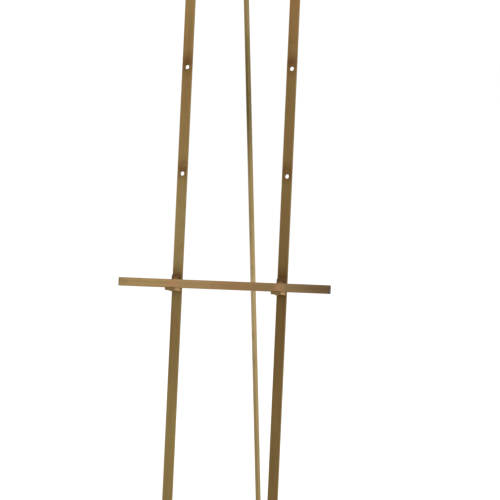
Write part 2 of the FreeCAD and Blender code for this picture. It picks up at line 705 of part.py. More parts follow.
top_crossbar = make_crossbar("top_crossbar", "top_bar_height", "w.top_bar_level",
                             ("-screw_pitch / 2", "screw_pitch / 2"))
make_rivet_holes(top_crossbar)
make_crossbar("lower_crossbar", "lower_bar_height", "lower_bar_level", ("0",))
for name, level, rows in (("top", "w.top_bar_level", 2), ("lower", "lower_bar_level", 1)):
    make_crossbar_screws(name + "_bar_screws", level, rows)
    make_crossbar_washers(name + "_bar_washers", level, rows)
    make_crossbar_nuts(name + "_bar_nuts", level, rows)

make_hinge_bracket()
make_bracket_rivets()
make_hinge_pin()
make_hinge_pin_nut()
make_hinge_spacers()
make_rear_leg()
make_hinge_bush()
make_rear_boot()
make_ledge_tube()
make_ledge_screws()
make_peg_washers()
doc.recompute()

# --------------------------------------------------------- check, then write out
for item in doc.Objects:
    if {"Invalid", "Error"} & set(item.State):
        raise RuntimeError("%s failed: %s" % (item.Label, item.State))
for body in subparts:
    if body.Shape.isNull() or not body.Shape.isValid():
        raise RuntimeError("%s has no valid shape" % body.Label)

os.makedirs("parts", exist_ok=True)
for body in subparts:
    body.Shape.exportStep(os.path.join("parts", body.Label + ".step"))
print("wrote %d sub-parts" % len(subparts))
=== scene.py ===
"""Looks of the display easel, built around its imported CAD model. Metres, +Z up."""
import json
import math

import bmesh
import bpy
from mathutils import Matrix, Quaternion, Vector


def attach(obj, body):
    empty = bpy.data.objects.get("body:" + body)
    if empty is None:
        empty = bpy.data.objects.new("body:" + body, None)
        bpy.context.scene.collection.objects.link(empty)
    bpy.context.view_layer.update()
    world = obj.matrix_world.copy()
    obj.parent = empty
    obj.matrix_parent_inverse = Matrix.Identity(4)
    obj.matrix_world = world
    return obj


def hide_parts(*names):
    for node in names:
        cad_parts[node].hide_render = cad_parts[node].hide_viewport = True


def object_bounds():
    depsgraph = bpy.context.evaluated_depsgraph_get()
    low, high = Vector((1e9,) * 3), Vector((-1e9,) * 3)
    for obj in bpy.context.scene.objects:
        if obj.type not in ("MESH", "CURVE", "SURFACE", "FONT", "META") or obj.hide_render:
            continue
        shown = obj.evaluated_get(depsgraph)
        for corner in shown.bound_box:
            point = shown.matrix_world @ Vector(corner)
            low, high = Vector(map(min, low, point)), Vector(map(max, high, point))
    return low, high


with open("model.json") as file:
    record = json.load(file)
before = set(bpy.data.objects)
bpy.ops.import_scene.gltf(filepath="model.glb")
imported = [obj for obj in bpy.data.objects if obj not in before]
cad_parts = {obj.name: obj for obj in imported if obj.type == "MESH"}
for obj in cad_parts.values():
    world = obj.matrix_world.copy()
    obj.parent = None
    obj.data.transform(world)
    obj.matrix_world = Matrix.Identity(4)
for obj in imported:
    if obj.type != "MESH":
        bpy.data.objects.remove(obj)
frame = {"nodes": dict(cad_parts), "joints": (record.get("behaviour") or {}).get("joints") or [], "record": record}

cad_low, cad_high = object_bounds()


# ------------------------------------------------------------------- uprights
# The two uprights are lengths of 19 x 6 mm drawn brass bar, cut square, drilled
# for the pegs and screws, brushed along their length and then aged with a patina
# that is olive and brown in patches, darker round the holes, rubbed pale on edges.
# At the lowest hole, where the ledge hangs, that darkening is partly tarnish and
# partly painted shade round the tube.

joints = {joint["name"]: joint for joint in frame["joints"]}
forward = Vector(joints["ledge_pull_off"]["axis"])
LEAN_ANGLE = math.atan2(forward.z, -forward.y)
LEAN = Matrix.Rotation(-LEAN_ANGLE, 4, "X")
AXES = "XYZ"


def bench_box(node, turn=LEAN):
    """Corners of a CAD node's box, measured square to a part that leans by turn."""
    upright_again = turn.inverted()
    points = [upright_again @ vertex.co for vertex in frame["nodes"][node].data.vertices]
    low = Vector([min(point[axis] for point in points) for axis in range(3)])
    high = Vector([max(point[axis] for point in points) for axis in range(3)])
    return low, high


def tone(code):
    """A colour as it looks on a screen, turned into the linear numbers of a shader."""
    parts = [int(code[place:place + 2], 16) / 255 for place in (0, 2, 4)]
    return [((part + 0.055) / 1.055) ** 2.4 for part in parts] + [1.0]


def new_finish(name, metallic=1.0):
    """A material and its shader."""
    finish = bpy.data.materials.new(name)
    finish.use_nodes = True
    shader = finish.node_tree.nodes["Principled BSDF"]
    shader.inputs["Metallic"].default_value = metallic
    return finish, shader


def add_node(finish, kind, inputs=(), **settings):
    """A node with its settings; each input is a number, a colour or another node's socket."""
    node = finish.node_tree.nodes.new(kind)
    for name, value in settings.items():
        setattr(node, name, value)
    for place, value in dict(inputs).items():
        if isinstance(value, bpy.types.NodeSocket):
            finish.node_tree.links.new(value, node.inputs[place])
        else:
            node.inputs[place].default_value = value
    return node


def bench_vector(finish, origin, turn):
    """Distances from the middle of a piece, square to it, in metres."""
    place = add_node(finish, "ShaderNodeTexCoord").outputs["Object"]
    mapping = add_node(finish, "ShaderNodeMapping", {"Vector": place, "Location": origin,
                       "Rotation": turn.to_euler()}, vector_type="TEXTURE")
    return mapping.outputs["Vector"]


def stretched(finish, vector, scale):
    """The same vector with each axis multiplied."""
    return add_node(finish, "ShaderNodeMapping", {"Vector": vector, "Scale": scale}).outputs["Vector"]


def cloud(finish, vector, scale, seed, detail=4.0, roughness=0.6):
    """Seeded noise from 0 to 1; scale is in grains per metre."""
    noise = add_node(finish, "ShaderNodeTexNoise", {"Vector": vector, "W": seed, "Scale": scale,
                     "Detail": detail, "Roughness": roughness}, noise_dimensions="4D")
    return noise.outputs["Fac"]


def compute(finish, operation, first, second=0.0):
    """One step of arithmetic on numbers or sockets."""
    return add_node(finish, "ShaderNodeMath", {0: first, 1: second}, operation=operation).outputs[0]


def between(finish, value, start, end, low=0.0, high=1.0):
    """A smooth step from low to high as value goes from start to end."""
    limits = {"Value": value, "From Min": start, "From Max": end, "To Min": low, "To Max": high}
    return add_node(finish, "ShaderNodeMapRange", limits, interpolation_type="SMOOTHSTEP").outputs["Result"]


def tint(finish, amount, under, over):
    """The colour under, covered by the colour over as far as amount says."""
    layers = {0: amount, 6: under, 7: over}
    return add_node(finish, "ShaderNodeMix", layers, data_type="RGBA").outputs[2]


def tones_along(finish, share, stops):
    """A colour that follows a share from 0 to 1 through stops of (share, colour code)."""
    ramp = add_node(finish, "ShaderNodeValToRGB", {"Fac": share})
    ramp.color_ramp.interpolation = "EASE"
    elements = ramp.color_ramp.elements
    while len(elements) < len(stops):
        elements.new(0.5)
    for element, (place, code) in zip(elements, sorted(stops)):
        element.position = place
    for element, (place, code) in zip(elements, sorted(stops)):
        element.color = tone(code)
    return ramp.outputs["Color"]


def near_points(finish, vector, points, reach):
    """1 at each point and 0 beyond reach of it."""
    nearness = 0.0
    for point in points:
        gap = add_node(finish, "ShaderNodeVectorMath", {0: vector, 1: point}, operation="DISTANCE")
        closeness = between(finish, gap.outputs["Value"], 0.0, reach, 1.0, 0.0)
        nearness = compute(finish, "MAXIMUM", nearness, closeness)
    return nearness


def edge_line(finish, vector, long_axis, half_size, reach):
    """1 along the four long edges of a bar and 0 away from them."""
    parts = add_node(finish, "ShaderNodeSeparateXYZ", {"Vector": vector})
    line = 1.0
    for axis in AXES.replace(long_axis, ""):
        off_middle = compute(finish, "ABSOLUTE", parts.outputs[axis])
        half = half_size[AXES.index(axis)]
        line = compute(finish, "MULTIPLY", line, between(finish, off_middle, half - reach, half))
    return line


FRONT_BORDER = (0.0003, 0.0007)


def front_face(finish, vector, half_depth):
    """1 on the face of a bar that looks forward and 0 on the rest of it."""
    depth = add_node(finish, "ShaderNodeSeparateXYZ", {"Vector": vector}).outputs["Y"]
    start, end = FRONT_BORDER
    return between(finish, depth, start - half_depth, end - half_depth, 1.0, 0.0)


def connect(finish, shader, colour, dull, height, strength, distance):
    """Wire the colour, the roughness and the bump of a finish to its shader."""
    bump = add_node(finish, "ShaderNodeBump", {"Height": height, "Strength": strength, "Distance": distance})
    sockets = {"Base Color": colour, "Roughness": dull, "Normal": bump.outputs["Normal"]}
    for name, socket in sockets.items():
        finish.node_tree.links.new(socket, shader.inputs[name])


# Patterns of the patina: grains per metre, detail, roughness, and if it is drawn out along the bar.
PATTERNS = {"brushing": (1500, 5, 0.65, True), "streaks": (330, 3, 0.55, True),
            "patches": (22, 4, 0.6, False), "mottle": (130, 5, 0.65, False), "specks": (900, 4, 0.7, False)}
DRAWN_OUT = 0.012
# What lies over the tone of the bar: a pattern, where it starts and is full, how much it covers, its colour.
LAYERS = (("patches", 0.52, 0.72, 0.3, "776A40"), ("patches", 0.48, 0.28, 0.35, "704A2C"),
          ("streaks", 0.5, 0.75, 0.45, "4A3A20"), ("brushing", 0.5, 0.8, 0.35, "A2844F"),
          ("specks", 0.62, 0.75, 0.55, "3C2F1A"))
# Marks: reach in metres, colour, and how the mottle breaks them up: start, full, least and most cover.
STAIN = {"reach": 0.03, "colour": "543520", "broken": (0.3, 0.6, 0.1, 0.7), "dulling": 0.12}
# A paler patch at given spots, used on the front of the ledge tube at each bracket.
PALE_PATCH = {"reach": 0.017, "colour": "9C7653", "broken": (0.25, 0.55, 0.35, 0.85)}
WORN_EDGE = {"reach": 0.0010, "colour": "B59660", "broken": (0.36, 0.6, 0.1, 0.75), "polish": 0.12}
RAGGED = 0.02
BRASS_GLINT = "F2E6CC"


def patina_patterns(finish, bench, long_axis, seed):
    """The seeded patterns of aged brass, by name."""
    along = stretched(finish, bench, [DRAWN_OUT if axis == long_axis else 1.0 for axis in AXES])
    patterns = {}
    for number, (name, (grains, detail, roughness, drawn)) in enumerate(PATTERNS.items()):
        vector = along if drawn else bench
        patterns[name] = cloud(finish, vector, grains, seed + number, detail, roughness)
    return patterns


def share_along(finish, bench, long_axis, half_length, mottle):
    """How far along a bar a point is, from 0 to 1, with ragged borders between its tones."""
    place = add_node(finish, "ShaderNodeSeparateXYZ", {"Vector": bench}).outputs[long_axis]
    wander = compute(finish, "MULTIPLY", compute(finish, "SUBTRACT", mottle, 0.5), RAGGED)
    share = add_node(finish, "ShaderNodeMapRange", {"Value": compute(finish, "ADD", place, wander),
                     "From Min": -half_length, "From Max": half_length})
    return share.outputs["Result"]


def broken_up(finish, amount, mottle, mark):
    """An amount that the mottle breaks up, so that a mark has no even edge."""
    return compute(finish, "MULTIPLY", amount, between(finish, mottle, *mark["broken"]))


def aged_brass(name, node, turn, long_axis, tones, seed, tarnished=(), pale_spots=(), front_tones=None):
    """Brushed and aged brass bar: tones go from one end of the CAD node to the other."""
    finish, shader = new_finish(name)
    shader.inputs["Specular Tint"].default_value = tone(BRASS_GLINT)
    low, high = bench_box(node, turn)
    half_size = (high - low) / 2
    bench = bench_vector(finish, turn @ ((low + high) / 2), turn)
    patterns = patina_patterns(finish, bench, long_axis, seed)
    mottle = patterns["mottle"]

    share = share_along(finish, bench, long_axis, half_size[AXES.index(long_axis)], mottle)
    colour = tones_along(finish, share, tones)
    if front_tones:
        facing = front_face(finish, bench, half_size.y)
        colour = tint(finish, facing, colour, tones_along(finish, share, front_tones))
    for pattern, start, full, cover, code in LAYERS:
        amount = between(finish, patterns[pattern], start, full, 0.0, cover)
        colour = tint(finish, amount, colour, tone(code))
    stains = 0.0
    if tarnished:
        stains = near_points(finish, bench, tarnished, STAIN["reach"])
        colour = tint(finish, broken_up(finish, stains, mottle, STAIN), colour, tone(STAIN["colour"]))
    if pale_spots:
        pale_nearness = near_points(finish, bench, pale_spots, PALE_PATCH["reach"])
        colour = tint(finish, broken_up(finish, pale_nearness, mottle, PALE_PATCH), colour, tone(PALE_PATCH["colour"]))
    edges = edge_line(finish, bench, long_axis, half_size, WORN_EDGE["reach"])
    wear = broken_up(finish, edges, mottle, WORN_EDGE)
    colour = tint(finish, wear, colour, tone(WORN_EDGE["colour"]))

    dull = compute(finish, "ADD", between(finish, patterns["patches"], 0.3, 0.7, 0.36, 0.5),
                   between(finish, patterns["specks"], 0.55, 0.75, 0.0, 0.15))
    dull = compute(finish, "SUBTRACT", dull, compute(finish, "MULTIPLY", wear, WORN_EDGE["polish"]))
    dull = compute(finish, "ADD", dull, compute(finish, "MULTIPLY", stains, STAIN["dulling"]))
    pits = compute(finish, "MULTIPLY", patterns["specks"], 0.6)
    height = compute(finish, "SUBTRACT", patterns["brushing"], pits)
    connect(finish, shader, colour, dull, height, 0.35, 0.00012)
    return finish


def coat(node, finish):
    """Give a CAD node its finish in place of the plain packed one."""
    for slot in frame["nodes"][node].material_slots:
        slot.material = finish


def in_bar(point, node):
    """A point of the easel as seen from the middle of a leaning bar, square to the bar."""
    low, high = bench_box(node)
    return LEAN.inverted() @ Vector(point) - (low + high) / 2


UPRIGHT_TONES = {
    "left": [(0.0, "74623C"), (0.25, "7E6C42"), (0.4, "745F3B"), (0.55, "84724A"), (0.7, "7E663F"),
             (0.8, "79603B"), (0.9, "846B42")],
    "right": [(0.0, "6F5935"), (0.25, "6E5936"), (0.45, "654F2D"), (0.6, "715B38"), (0.8, "765F3A"),
              (0.9, "80623D")],
}
STAIN_ABOVE_HOLE = Vector((0, 0, 0.008))
mounts = {mount["name"]: Vector(mount["pos_m"]) for mount in frame["record"]["mounts"]}
for seed, side in enumerate(UPRIGHT_TONES):
    bar = side + "_upright"
    peg_holes = [mounts[side + "_middle_peg_hole"], mounts[side + "_top_peg_hole"],
                 Vector(joints[side + "_nut_turn"]["pos_m"])]
    # Tarnish above each hole; at the lowest hole, by the tube, it is also painted shade round the tube.
    stains_and_tube_shade = [in_bar(hole, bar) + STAIN_ABOVE_HOLE for hole in peg_holes]
    coat(bar, aged_brass(side + "_upright_patina", bar, LEAN, "Z", UPRIGHT_TONES[side], 10 * seed, stains_and_tube_shade))


# ------------------------------------------------------------------ crossbars
# Two lengths of thinner flat brass bar lie across the backs of the uprights and
# keep them parallel: a deep one behind the hinge and a narrow one near the floor.
# They are brushed along their length, like the uprights, and screwed to them.

CROSSBAR_TONES = [(0.0, "87693F"), (0.5, "7F6840"), (0.8, "866F49"), (1.0, "7B623C")]
for seed, bar in enumerate(("top_crossbar", "lower_crossbar")):
    coat(bar, aged_brass(bar + "_patina", bar, LEAN, "X", CROSSBAR_TONES, 30 + 10 * seed))


# --------------------------------------------- crossbar screws, washers, nuts
# Button-head brass screws with a hexagon socket go in from the front. Behind the
# crossbar each has a washer and a domed cap nut. All are turned from rod, so
# they show fine rings about their own axis.

LATHE_STEPS = 48
FULL_TURN = 2 * math.pi
TO_THE_BACK = Matrix.Rotation(-math.pi / 2, 4, "X")
SHARP_EDGE = math.radians(35)
SCREW_HEAD = {"width": 0.0096, "height": 0.0028, "shank": 0.005, "socket": 0.0034, "depth": 0.0016}
WASHER_WIDTH = 0.010
CAP_NUT = {"corners": 0.0092, "hexagon_height": 0.004, "bore": 0.005, "bore_depth": 0.0036}


def turned(outline, closed=False, steps=LATHE_STEPS):
    """A shape turned about Z from an outline of (radius, height) points."""
    shape = bmesh.new()
    points = [shape.verts.new((radius, 0, height)) for radius, height in outline]
    pairs = list(zip(points, points[1:]))
    if closed:
        pairs.append((points[-1], points[0]))
    edges = [shape.edges.new(pair) for pair in pairs]
    bmesh.ops.spin(shape, geom=points + edges, cent=(0, 0, 0), axis=(0, 0, 1), dvec=(0, 0, 0),
                   angle=FULL_TURN, steps=steps, use_merge=True)
    bmesh.ops.remove_doubles(shape, verts=shape.verts, dist=1e-6)
    bmesh.ops.recalc_face_normals(shape, faces=shape.faces)
    return shape


def soften(shape, radius):
    """Round every sharp edge of a shape."""
    sharp = [edge for edge in shape.edges if edge.calc_face_angle(0) > SHARP_EDGE]
    bmesh.ops.bevel(shape, geom=sharp, offset=radius, segments=2, profile=0.5, affect="EDGES",
                    material=-1, clamp_overlap=True)


def crown(width, height, rim, top=0.0, steps=8):
    """The outline of a domed head, from its rim up to where its top has the radius top."""
    rise = height - rim
    arc = [math.pi / 2 * step / steps for step in range(steps + 1)]
    outline = [(width / 2 * math.cos(angle), rim + rise * math.sin(angle)) for angle in arc]
    return [(max(radius, top), level) for radius, level in outline if radius > top] + [(top, height)]


def mark_lathe_rings(shape):
    """Keep each point's distance from its own axis, which the turned finish follows."""
    rings = shape.verts.layers.float.new("lathe")
    for vertex in shape.verts:
        vertex[rings] = math.hypot(vertex.co.x, vertex.co.y) + abs(vertex.co.z)


def repeated(shape, places):
    """The same shape once at each place, as one mesh."""
    pattern = bpy.data.meshes.new("pattern")
    shape.to_mesh(pattern)
    shape.free()
    group = bmesh.new()
    for place in places:
        known = len(group.verts)
        group.from_mesh(pattern)
        group.verts.ensure_lookup_table()
        bmesh.ops.translate(group, vec=place, verts=group.verts[known:])
    bpy.data.meshes.remove(pattern)
    return group


def add_piece(name, shape, finish, body, nodes, turn=LEAN):
    """A finished shape, turned to its lean, that stands for CAD nodes and rides on a body."""
    bmesh.ops.transform(shape, matrix=turn, verts=shape.verts)
    mesh = bpy.data.meshes.new(name)
    shape.to_mesh(mesh)
    shape.free()
    mesh.shade_smooth()
    mesh.set_sharp_from_angle(angle=SHARP_EDGE)
    mesh.materials.append(finish)
    piece = bpy.data.objects.new(name, mesh)
    bpy.context.scene.collection.objects.link(piece)
    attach(piece, body)
    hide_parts(*nodes)
    return piece


def ring_spots(node, width):
    """(across, up) of each round fastener of a CAD node: its box's corners, less half a width."""
    low, high = bench_box(node)
    half = width / 2
    rows = sorted({round(low.z + half, 5), round(high.z - half, 5)})
    return [(across, up) for across in (low.x + half, high.x - half) for up in rows]


def round_ring(shape, radius, level):
    """The edges of a circle with as many points as a turned ring."""
    made = bmesh.ops.create_circle(shape, segments=LATHE_STEPS, radius=radius)
    bmesh.ops.translate(shape, vec=(0, 0, level), verts=made["verts"])
    return list({edge for vertex in made["verts"] for edge in vertex.link_edges})


def hexagon_ring(shape, corners, level):
    """The edges of a hexagon with as many points as a turned ring."""
    ring = round_ring(shape, corners / 2, level)
    side_angle = FULL_TURN / 6
    for vertex in {vertex for edge in ring for vertex in edge.verts}:
        off_flat = math.atan2(vertex.co.y, vertex.co.x) % side_angle - side_angle / 2
        vertex.co.xy *= math.cos(side_angle / 2) / math.cos(off_flat)
    return ring


def push_ring(shape, edges, move):
    """Extrude a ring of edges along move and return the new ring."""
    made = bmesh.ops.extrude_edge_only(shape, edges=edges)["geom"]
    points = [item for item in made if isinstance(item, bmesh.types.BMVert)]
    bmesh.ops.translate(shape, vec=move, verts=points)
    return [edge for edge in made if isinstance(edge, bmesh.types.BMEdge) and edge.is_boundary]


def close_ring(shape, edges):
    """Fill a ring with a flat fan of triangles."""
    face = bmesh.ops.contextual_create(shape, geom=edges)["faces"]
    bmesh.ops.poke(shape, faces=face)


def socket_screw(width, height, shank, socket, depth, length):
    """A button-head screw along Z: its crown at 0, then its shank, with a hexagon socket."""
    land = socket * 0.7
    chamfer = shank * 0.12
    outline = [(radius, height - level) for radius, level in crown(width, height, height * 0.28, land)]
    outline = outline[::-1] + [(width / 2, height), (shank / 2, height), (shank / 2, length - chamfer),
                               (shank / 2 - chamfer, length), (0, length)]
    shape = turned(outline)
    edges = [edge for edge in shape.edges if edge.is_boundary]
    recess = hexagon_ring(shape, socket, 0)
    bmesh.ops.bridge_loops(shape, edges=edges + recess)
    floor_ring = push_ring(shape, recess, (0, 0, depth))
    close_ring(shape, floor_ring)
    bmesh.ops.recalc_face_normals(shape, faces=shape.faces)
    mark_lathe_rings(shape)
    return shape


def cap_nut(corners, hexagon_height, bore, bore_depth, length):
    """A domed nut along Z from its seat at 0, with the corners of its hexagon turned off."""
    flat_radius = corners / 2 * math.cos(math.pi / 6)
    chamfer = math.tan(math.radians(30))
    shape = bmesh.new()
    seat = hexagon_ring(shape, corners, 0)
    shoulder = push_ring(shape, seat, (0, 0, hexagon_height))
    for vertex in shape.verts:
        over_flat = max(0.0, vertex.co.xy.length - flat_radius)
        vertex.co.z += over_flat * chamfer * (1 if vertex.co.z < hexagon_height / 2 else -1)
    collar = round_ring(shape, flat_radius, hexagon_height)
    bmesh.ops.bridge_loops(shape, edges=shoulder + collar)
    rise = length - hexagon_height
    last = collar
    for radius, level in crown(2 * flat_radius * 0.93, rise, 0.0, 0.0, 10)[:-1]:
        ring = round_ring(shape, max(radius, 0.00005), hexagon_height + level)
        bmesh.ops.bridge_loops(shape, edges=last + ring)
        last = ring
    close_ring(shape, last)
    mouth = round_ring(shape, bore / 2, 0)
    bmesh.ops.bridge_loops(shape, edges=seat + mouth)
    close_ring(shape, push_ring(shape, mouth, (0, 0, bore_depth)))
    bmesh.ops.recalc_face_normals(shape, faces=shape.faces)
    mark_lathe_rings(shape)
    return shape


def plain_ring(bore, width, thickness, rounding):
    """A washer along Z from 0, with its edges rounded."""
    outline = [(bore / 2, 0), (width / 2, 0), (width / 2, thickness), (bore / 2, thickness)]
    shape = turned(outline, closed=True)
    soften(shape, rounding)
    mark_lathe_rings(shape)
    return shape


def turned_brass(name, deep, bright, seed):
    """Brass turned on a lathe: rings about the axis, tarnish in patches."""
    finish, shader = new_finish(name)
    radius = add_node(finish, "ShaderNodeAttribute", attribute_name="lathe").outputs["Fac"]
    place = add_node(finish, "ShaderNodeTexCoord").outputs["Object"]
    tool_marks = add_node(finish, "ShaderNodeTexNoise", {"W": radius, "Scale": 5200.0, "Detail": 3.0},
                          noise_dimensions="1D").outputs["Fac"]
    patches = cloud(finish, place, 160, seed, 4, 0.6)
    specks = cloud(finish, place, 1400, seed + 1, 3, 0.7)
    colour = tint(finish, between(finish, patches, 0.35, 0.65), tone(deep), tone(bright))
    colour = tint(finish, between(finish, tool_marks, 0.45, 0.8, 0.0, 0.4), colour, tone("C8A868"))
    colour = tint(finish, between(finish, specks, 0.6, 0.75, 0.0, 0.5), colour, tone("4B3B22"))
    dull = compute(finish, "ADD", between(finish, patches, 0.3, 0.7, 0.3, 0.42),
                   between(finish, specks, 0.55, 0.75, 0.0, 0.12))
    connect(finish, shader, colour, dull, tool_marks, 0.25, 0.00004)
    return finish


fastener_brass = turned_brass("turned_fastener_brass", "7A5C36", "A5834E", 60)
for bar in ("top", "lower"):
    spots = ring_spots(bar + "_bar_washers", WASHER_WIDTH)

    low, high = bench_box(bar + "_bar_screws")
    screw = socket_screw(length=high.y - low.y, **SCREW_HEAD)
    bmesh.ops.transform(screw, matrix=TO_THE_BACK, verts=screw.verts)
    screws = repeated(screw, [(across, low.y, up) for across, up in spots])
    add_piece(bar + "_button_screws", screws, fastener_brass, "frame",
              [bar + "_bar_screws"])

    low, high = bench_box(bar + "_bar_washers")
    washer = plain_ring(SCREW_HEAD["shank"] + 0.0002, WASHER_WIDTH, high.y - low.y, 0.00015)
    bmesh.ops.transform(washer, matrix=TO_THE_BACK, verts=washer.verts)
    washers = repeated(washer, [(across, low.y, up) for across, up in spots])
    add_piece(bar + "_plain_washers", washers, fastener_brass, "frame",
              [bar + "_bar_washers"])

    low, high = bench_box(bar + "_bar_nuts")
    nut = cap_nut(length=high.y - low.y, **CAP_NUT)
    bmesh.ops.transform(nut, matrix=TO_THE_BACK, verts=nut.verts)
    nuts = repeated(nut, [(across, low.y, up) for across, up in spots])
    add_piece(bar + "_cap_nuts", nuts, fastener_brass, "frame", [bar + "_bar_nuts"])


# --------------------------------------------------- hinge bracket and rivets
# A cast brass bracket with two ears, filed flat and brushed, sits on the back of
# the top crossbar. Four solid brass rivets with domed heads hold it; their heads
# are formed by hammering, so both ends look alike.

RIVET = {"head": 0.0075, "head_height": 0.0018, "shank": 0.004}

BRACKET_TONES = [(0.0, "7E6740"), (0.5, "8C7148"), (1.0, "7A5F3B")]
coat("hinge_bracket", aged_brass("hinge_bracket_patina", "hinge_bracket", LEAN, "X", BRACKET_TONES, 70))


def rivet(head, head_height, shank, length):
    """A set rivet along Z from 0, with a domed head at each end."""
    dome = crown(head, head_height, 0.0)
    near_end = [(radius, head_height - level) for radius, level in dome][::-1]
    far_end = [(radius, length - head_height + level) for radius, level in dome]
    shape = turned(near_end + [(shank / 2, head_height), (shank / 2, length - head_height)] + far_end)
    mark_lathe_rings(shape)
    return shape


low, high = bench_box("bracket_rivets")
one_rivet = rivet(length=high.y - low.y, **RIVET)
bmesh.ops.transform(one_rivet, matrix=TO_THE_BACK, verts=one_rivet.verts)
spots = ring_spots("bracket_rivets", RIVET["head"])
rivets = repeated(one_rivet, [(across, low.y, up) for across, up in spots])
add_piece("domed_rivets", rivets, fastener_brass, "frame", ["bracket_rivets"])


# --------------------------------------------- hinge pin, nut, spacers and bush
# A turned brass pin goes through both ears and the leg, closed by a domed nut.
# Two thin nylon washers keep the leg off the ears, and a bronze bush, pressed in
# the leg, runs on the pin. The bush is sintered, so its face is finely porous.

PIN = {"width": 0.011, "height": 0.003, "shank": 0.006}
PIN_NUT = {"corners": 0.0114, "hexagon_height": 0.005, "bore": 0.006, "bore_depth": 0.0036}
BUSH_BORE = 0.0061
TO_THE_RIGHT = Matrix.Rotation(math.pi / 2, 4, "Y") @ Matrix.Rotation(math.pi / 2, 4, "Z")


def headed_pin(width, height, shank, length):
    """A pin along Z with its domed head at 0 and a chamfered tip."""
    dome = [(radius, height - level) for radius, level in crown(width, height, height * 0.33)]
    chamfer = shank * 0.1
    shape = turned(dome[::-1] + [(width / 2, height), (shank / 2, height), (shank / 2, length - chamfer),
                                 (shank / 2 - chamfer, length), (0, length)])
    mark_lathe_rings(shape)
    return shape


def across_hinge(shape, node, turn=LEAN, steps=(0,)):
    """Lay a shape along X, in the middle of a CAD node, starting at its left side."""
    low, high = bench_box(node, turn)
    bmesh.ops.transform(shape, matrix=TO_THE_RIGHT, verts=shape.verts)
    middle = (low + high) / 2
    return repeated(shape, [(low.x + step, middle.y, middle.z) for step in steps])


def fine_finish(name, low_tone, high_tone, seed, grain, roughness, bump_depth, metallic=0.0):
    """A moulded or sintered surface: two close tones, a fine grain and a dull spread."""
    finish, shader = new_finish(name, metallic)
    shader.inputs["Specular IOR Level"].default_value = 0.3
    place = add_node(finish, "ShaderNodeTexCoord").outputs["Object"]
    patches = cloud(finish, place, 70, seed, 4, 0.6)
    texture = cloud(finish, place, grain, seed + 1, 4, 0.65)
    colour = tint(finish, between(finish, patches, 0.3, 0.7), tone(low_tone), tone(high_tone))
    colour = tint(finish, between(finish, texture, 0.5, 0.75, 0.0, 0.45), colour, tone(low_tone))
    dull = between(finish, texture, 0.3, 0.7, roughness - 0.06, roughness + 0.08)
    connect(finish, shader, colour, dull, texture, 0.4, bump_depth)
    return finish


low, high = bench_box("hinge_pin")
pin = across_hinge(headed_pin(length=high.x - low.x, **PIN), "hinge_pin")
add_piece("domed_hinge_pin", pin, fastener_brass, "frame", ["hinge_pin"])
low, high = bench_box("hinge_pin_nut")
pin_nut = across_hinge(cap_nut(length=high.x - low.x, **PIN_NUT), "hinge_pin_nut")
add_piece("hinge_cap_nut", pin_nut, fastener_brass, "frame", ["hinge_pin_nut"])

nylon = fine_finish("nylon", "CFC8B6", "DAD4C6", 80, 2200, 0.45, 0.00003)
low, high = bench_box("hinge_spacers")
low_bush, high_bush = bench_box("hinge_bush")
spacer_thickness = (high.x - low.x - (high_bush.x - low_bush.x)) / 2 - 0.0001
spacer = plain_ring(PIN["shank"], PIN["width"], spacer_thickness, 0.0001)
spacers = across_hinge(spacer, "hinge_spacers", LEAN, (0, high.x - low.x - spacer_thickness))
add_piece("nylon_spacers", spacers, nylon, "frame", ["hinge_spacers"])

FOLD_ANGLE = math.radians(joints["leg_fold"]["range_deg"][1])
LEG_LEAN = Matrix.Rotation(FOLD_ANGLE - LEAN_ANGLE, 4, "X")
bronze = fine_finish("sintered_bronze", "6E4B2C", "8D6A40", 84, 3000, 0.42, 0.00006, 1.0)
low, high = bench_box("hinge_bush", LEG_LEAN)
bush = plain_ring(BUSH_BORE, high.y - low.y, high.x - low.x, 0.0002)
bush = across_hinge(bush, "hinge_bush", LEG_LEAN)
add_piece("pressed_bush", bush, bronze, "leg", ["hinge_bush"], LEG_LEAN)


# ------------------------------------------------------------------- rear leg
# The rear leg is the same brass bar as the uprights, set on edge, so its narrow side
# faces forward. Its square upper end is the stop of the hinge. It has darkened in
# its upper part, where hands take it, and its front edge is slightly greyer.

LEG_SIDE_TONES = [(0.0, "8C784C"), (0.2, "907C50"), (0.5, "A89264"), (0.65, "94804F"), (0.8, "5C4E2C"),
                  (0.87, "68592F"), (0.95, "86734A")]
LEG_FRONT_TONES = [(0.0, "8C7850"), (0.2, "907C56"), (0.5, "A69270"), (0.65, "907E58"), (0.8, "5C4F30"),
                   (0.87, "685A36"), (0.95, "86744C")]
coat("rear_leg", aged_brass("rear_leg_patina", "rear_leg", LEG_LEAN, "Z", LEG_SIDE_TONES, 90,
                            front_tones=LEG_FRONT_TONES))


# ---------------------------------------------------------------------- boots
# Each foot is pushed into a moulded black rubber boot with a sole that lies flat
# on the floor whatever the bar's lean. Three grooves run round the boot, which
# let it grip the bar, and the sole has a tread of straight bars.

BOOT = {"wall": 0.002, "corner": 0.0012, "groove_width": 0.0014, "groove_depth": 0.0006,
        "groove_pitch": 0.0042, "grooves": 3, "lip": 0.0035, "rim_round": 0.0004, "sole": 0.003,
        "tread_pitch": 0.0024}
ALMOST_PARALLEL = 0.99


